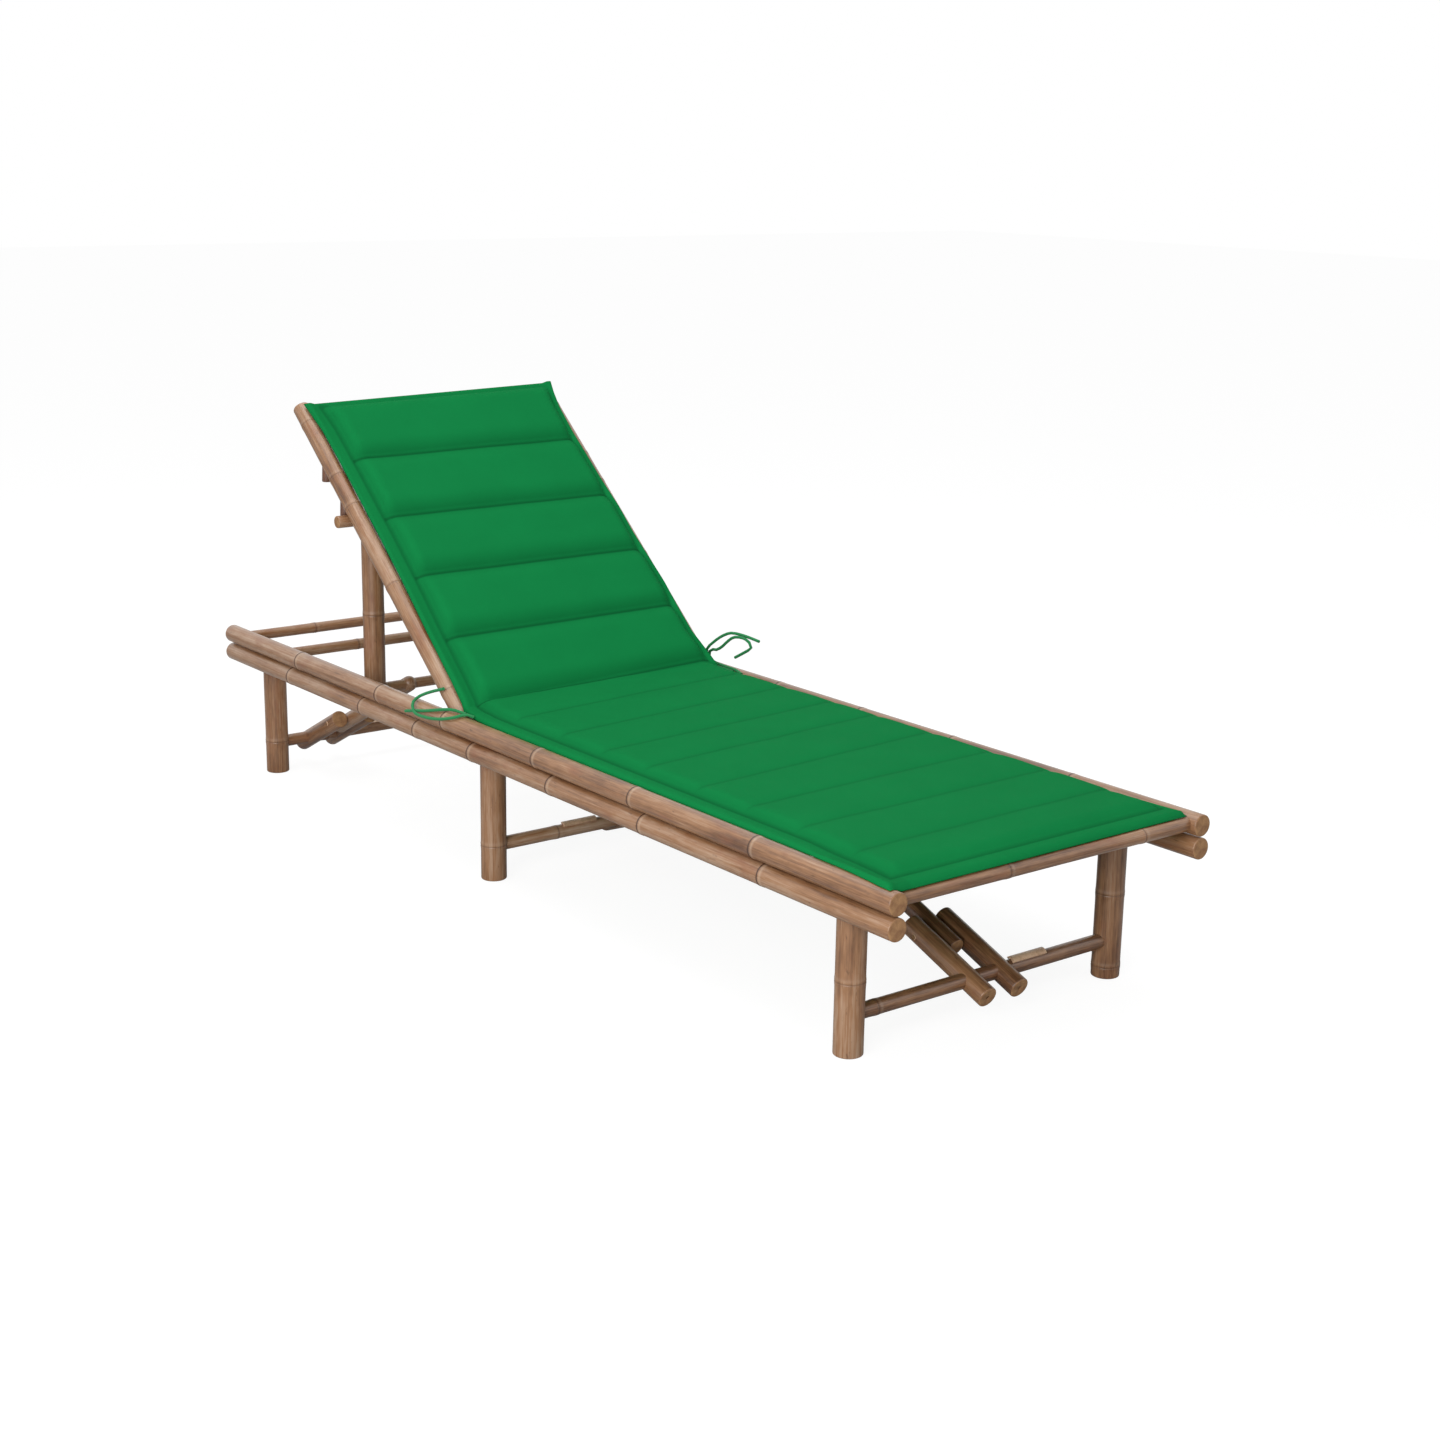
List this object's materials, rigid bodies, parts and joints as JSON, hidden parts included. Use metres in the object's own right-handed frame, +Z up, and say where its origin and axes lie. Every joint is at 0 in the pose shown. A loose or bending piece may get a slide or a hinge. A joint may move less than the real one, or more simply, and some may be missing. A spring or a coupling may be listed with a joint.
{
  "type": "sun lounger",
  "caption": "Bamboo sun lounger with a backrest propped on a catch frame, folding leg frames with jointed stays, and a long quilted cushion with tie cords.",
  "frame": {"origin": "on the floor, under the middle of the rails", "axes": "+X right seen from the foot end, +Y toward the head end, +Z up"},
  "size_m": [0.6618, 2, 0.7671],
  "materials": {
    "bamboo": "tan-brown bamboo with a satin varnish",
    "pale_bamboo": "split bamboo, paler on its cut side",
    "dark_bamboo": "darker reddish bamboo, satin",
    "cushion_cloth": "plain woven green outdoor cloth, quilted",
    "tie_cloth": "green cloth tape sewn into a cord"
  },
  "bodies": {
    "frame": {"upper_rail_left": "bamboo", "upper_rail_right": "bamboo", "lower_rail_left": "bamboo", "lower_rail_right": "bamboo", "foot_cross_pole": "bamboo", "seat_slat_1": "bamboo", "seat_slat_2": "bamboo", "seat_slat_3": "bamboo", "seat_slat_4": "bamboo", "seat_slat_5": "bamboo", "seat_slat_6": "bamboo", "seat_slat_7": "bamboo", "seat_slat_8": "bamboo", "head_rung_inner": "bamboo", "head_rung_outer": "bamboo", "hinge_rod": "bamboo", "stay_cross_pole": "bamboo", "prop_axle": "bamboo", "seat_cushion": "cushion_cloth", "tie_left_straight": "tie_cloth", "tie_left_loop": "tie_cloth", "tie_right_arc": "tie_cloth", "tie_right_loop": "tie_cloth"},
    "foot_legs": {"foot_leg_left": "bamboo", "foot_leg_right": "bamboo", "foot_crossbar": "bamboo", "foot_clip": "pale_bamboo"},
    "foot_fork": {"foot_fork_pole_a": "bamboo", "foot_fork_pole_b": "bamboo"},
    "foot_brace": {"foot_brace": "bamboo"},
    "mid_legs": {"mid_leg_left": "bamboo", "mid_leg_right": "bamboo", "mid_crossbar": "bamboo", "mid_clip": "pale_bamboo"},
    "mid_fork": {"mid_fork_pole_a": "bamboo", "mid_fork_pole_b": "bamboo"},
    "mid_brace": {"mid_brace": "bamboo"},
    "head_legs": {"head_leg_left": "bamboo", "head_leg_right": "bamboo", "head_crossbar": "bamboo", "head_clip": "pale_bamboo"},
    "head_fork": {"head_fork_pole_a": "bamboo", "head_fork_pole_b": "bamboo"},
    "head_brace": {"head_brace": "bamboo"},
    "backrest": {"back_pole_left": "bamboo", "back_pole_right": "bamboo", "back_rung_1": "bamboo", "back_rung_2": "bamboo", "back_rung_3": "bamboo", "back_rung_4": "bamboo", "back_rung_5": "bamboo", "catch_peg_lower_left": "dark_bamboo", "catch_peg_upper_left": "dark_bamboo", "catch_peg_lower_right": "dark_bamboo", "catch_peg_upper_right": "dark_bamboo", "back_cushion": "cushion_cloth"},
    "support": {"prop_strut_left": "bamboo", "prop_strut_right": "bamboo", "prop_bar": "bamboo"}
  },
  "joints": [
    {"name": "foot_leg_fold", "type": "hinge", "parent": "frame", "child": "foot_legs", "pos_m": [0, -0.862, 0.2362], "axis": [1, 0, 0], "range_deg": [0, 70]},
    {"name": "foot_brace_turn", "type": "hinge", "parent": "frame", "child": "foot_brace", "pos_m": [0, -0.39, 0.2362], "axis": [1, 0, 0], "range_deg": [-21.9, 0]},
    {"name": "foot_fork_turn", "type": "hinge", "parent": "foot_legs", "child": "foot_fork", "pos_m": [0, -0.862, 0.06], "axis": [1, 0, 0], "range_deg": [0, 52.5]},
    {"name": "mid_leg_fold", "type": "hinge", "parent": "frame", "child": "mid_legs", "pos_m": [0, 0.082, 0.2362], "axis": [1, 0, 0], "range_deg": [-70, 0]},
    {"name": "mid_brace_turn", "type": "hinge", "parent": "frame", "child": "mid_brace", "pos_m": [0.033, -0.39, 0.2362], "axis": [1, 0, 0], "range_deg": [0, 21.9]},
    {"name": "mid_fork_turn", "type": "hinge", "parent": "mid_legs", "child": "mid_fork", "pos_m": [0.033, 0.082, 0.06], "axis": [1, 0, 0], "range_deg": [-52.5, 0]},
    {"name": "head_leg_fold", "type": "hinge", "parent": "frame", "child": "head_legs", "pos_m": [0, 0.9025, 0.2362], "axis": [1, 0, 0], "range_deg": [-80, 0]},
    {"name": "head_brace_turn", "type": "hinge", "parent": "frame", "child": "head_brace", "pos_m": [-0.155, 0.56, 0.2362], "axis": [1, 0, 0], "range_deg": [0, 27.3]},
    {"name": "head_fork_turn", "type": "hinge", "parent": "head_legs", "child": "head_fork", "pos_m": [-0.155, 0.9025, 0.06], "axis": [1, 0, 0], "range_deg": [-58, 0]},
    {"name": "backrest_lift", "type": "hinge", "parent": "frame", "child": "backrest", "pos_m": [0, 0.17, 0.2725], "axis": [1, 0, 0], "range_deg": [0, 40]},
    {"name": "prop_swing", "type": "hinge", "parent": "frame", "child": "support", "pos_m": [0, 0.56, 0.2362], "axis": [1, 0, 0], "range_deg": [0, 36.5]}
  ],
  "couplings": [
    {"joint": "foot_brace_turn", "follows": "foot_leg_fold", "ratio": -0.3057},
    {"joint": "foot_fork_turn", "follows": "foot_leg_fold", "ratio": 0.7424},
    {"joint": "mid_brace_turn", "follows": "mid_leg_fold", "ratio": -0.3057},
    {"joint": "mid_fork_turn", "follows": "mid_leg_fold", "ratio": 0.7424},
    {"joint": "head_brace_turn", "follows": "head_leg_fold", "ratio": -0.3349},
    {"joint": "head_fork_turn", "follows": "head_leg_fold", "ratio": 0.7191},
    {"joint": "prop_swing", "follows": "backrest_lift", "ratio": 0.9}
  ]
}
